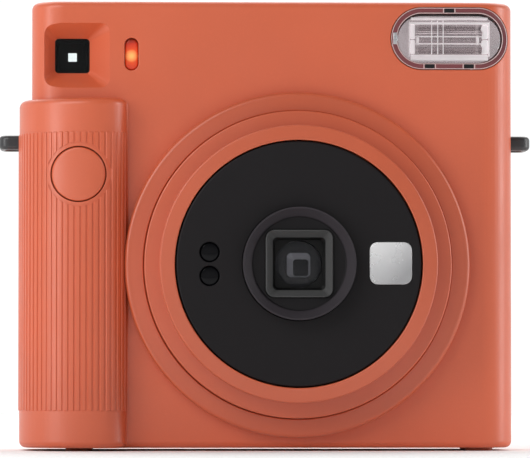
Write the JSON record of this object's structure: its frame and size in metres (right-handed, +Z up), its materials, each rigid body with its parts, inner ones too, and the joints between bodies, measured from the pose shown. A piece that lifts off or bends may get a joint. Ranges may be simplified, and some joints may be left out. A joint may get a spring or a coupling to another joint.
{
  "type": "instant camera",
  "caption": "Instant camera for square film: ribbed grip with a shutter button, turning lens ring with a sliding barrel, flash, viewfinder and hinged film door.",
  "frame": {"origin": "on the surface it stands on, under the middle of its bounding box", "axes": "lens looks along -Y, +X to the right as seen from the front, +Z up"},
  "size_m": [0.1416, 0.0616, 0.1186],
  "materials": {
    "orange_plastic": "satin",
    "black_plastic": "satin",
    "steel": "brushed",
    "gear_plastic": "satin",
    "battery_case": "satin",
    "lens_glass": "polished",
    "clear_plastic": "polished",
    "amber_plastic": "gloss",
    "dark_red_plastic": "gloss",
    "mirror": "polished",
    "reflector": "bright",
    "circuit_board": "satin"
  },
  "bodies": {
    "camera_body": {"front_cover": "orange_plastic", "rear_cover": "orange_plastic", "lens_bezel": "orange_plastic", "battery_holder": "black_plastic", "shutter_switch": "black_plastic", "lens_faceplate": "black_plastic", "shutter_unit": "black_plastic", "exposure_sensor_window": "black_plastic", "flash_sensor_window": "black_plastic", "viewfinder_tube": "black_plastic", "eyepiece_frame": "black_plastic", "chassis": "black_plastic", "light_cone": "black_plastic", "lens_housing": "black_plastic", "barrel_guide": "black_plastic", "film_slot_frame": "black_plastic", "strap_lug_left": "black_plastic", "strap_lug_right": "black_plastic", "flash_capacitor": "black_plastic", "roller_plate_left": "black_plastic", "roller_plate_right": "black_plastic", "door_hinge_pin": "steel", "battery_door_pin": "steel", "battery_contact_bottom": "steel", "battery_contact_top": "steel", "shutter_spring": "steel", "eject_motor": "steel", "case_screw_1": "steel", "case_screw_2": "steel", "battery_lower": "battery_case", "battery_upper": "battery_case", "flash_tube": "lens_glass", "viewfinder_window": "clear_plastic", "eyepiece_lens": "clear_plastic", "flash_window": "clear_plastic", "counter_window": "clear_plastic", "lamp_window": "amber_plastic", "flash_bezel": "dark_red_plastic", "selfie_mirror": "mirror", "flash_reflector": "reflector", "circuit_board": "circuit_board"},
    "power_ring": {"lens_ring": "orange_plastic"},
    "barrel": {"lens_barrel": "black_plastic", "lens_hood": "black_plastic", "front_lens": "lens_glass", "rear_lens": "lens_glass"},
    "button": {"shutter_button": "orange_plastic"},
    "door": {"film_door": "orange_plastic", "pack_window": "clear_plastic", "pack_spring_lower": "steel", "pack_spring_upper": "steel"},
    "latch": {"door_latch": "orange_plastic"},
    "battery_cover": {"battery_door": "orange_plastic"},
    "drive_roller": {"drive_roller": "steel"},
    "pinch_roller": {"pinch_roller": "steel"},
    "idler": {"idler_gear": "gear_plastic"},
    "pinion": {"motor_pinion": "gear_plastic"},
    "counter": {"counter_dial": "black_plastic"}
  },
  "joints": [
    {"name": "ring_turn", "type": "hinge", "parent": "camera_body", "child": "power_ring", "pos_m": [0.008, -0.015, 0.0489], "axis": [0, -1, 0], "range_deg": [-60, 30]},
    {"name": "barrel_slide", "type": "slide", "parent": "camera_body", "child": "barrel", "axis": [0, -1, 0], "range_m": [-0.004, 0.002]},
    {"name": "shutter_press", "type": "slide", "parent": "camera_body", "child": "button", "axis": [0, 1, 0], "range_m": [0, 0.0012], "stiffness_N_per_m": 500, "springref_m": -0.001, "deforming": ["shutter_spring"]},
    {"name": "film_door_hinge", "type": "hinge", "parent": "camera_body", "child": "door", "pos_m": [0.0612, 0.0276, 0.052], "axis": [0, 0, -1], "range_deg": [0, 100]},
    {"name": "latch_slide", "type": "slide", "parent": "camera_body", "child": "latch", "axis": [0, 0, -1], "range_m": [0, 0.004], "stiffness_N_per_m": 300, "springref_m": -0.003},
    {"name": "battery_door_hinge", "type": "hinge", "parent": "camera_body", "child": "battery_cover", "pos_m": [-0.06385, 0.0234, 0.0435], "axis": [0, 0, -1], "range_deg": [0, 95]},
    {"name": "drive_roller_spin", "type": "hinge", "parent": "camera_body", "child": "drive_roller", "pos_m": [0.008, 0.00727, 0.1045], "axis": [1, 0, 0], "continuous": true},
    {"name": "pinch_roller_spin", "type": "hinge", "parent": "camera_body", "child": "pinch_roller", "pos_m": [0.008, 0.01573, 0.1045], "axis": [1, 0, 0], "continuous": true},
    {"name": "idler_spin", "type": "hinge", "parent": "camera_body", "child": "idler", "pos_m": [-0.036, 0.00727, 0.09544], "axis": [1, 0, 0], "continuous": true},
    {"name": "pinion_spin", "type": "hinge", "parent": "camera_body", "child": "pinion", "pos_m": [-0.036, 0.00727, 0.08758], "axis": [1, 0, 0], "continuous": true},
    {"name": "counter_turn", "type": "hinge", "parent": "camera_body", "child": "counter", "pos_m": [-0.0505, 0.026, 0.0855], "axis": [0, 1, 0], "range_deg": [-300, 0]}
  ],
  "couplings": [
    {"joint": "barrel_slide", "follows": "ring_turn", "m_per_rad": 0.0038},
    {"joint": "pinch_roller_spin", "follows": "drive_roller_spin", "ratio": -1},
    {"joint": "idler_spin", "follows": "drive_roller_spin", "ratio": -0.875},
    {"joint": "pinion_spin", "follows": "drive_roller_spin", "ratio": 1.4}
  ]
}
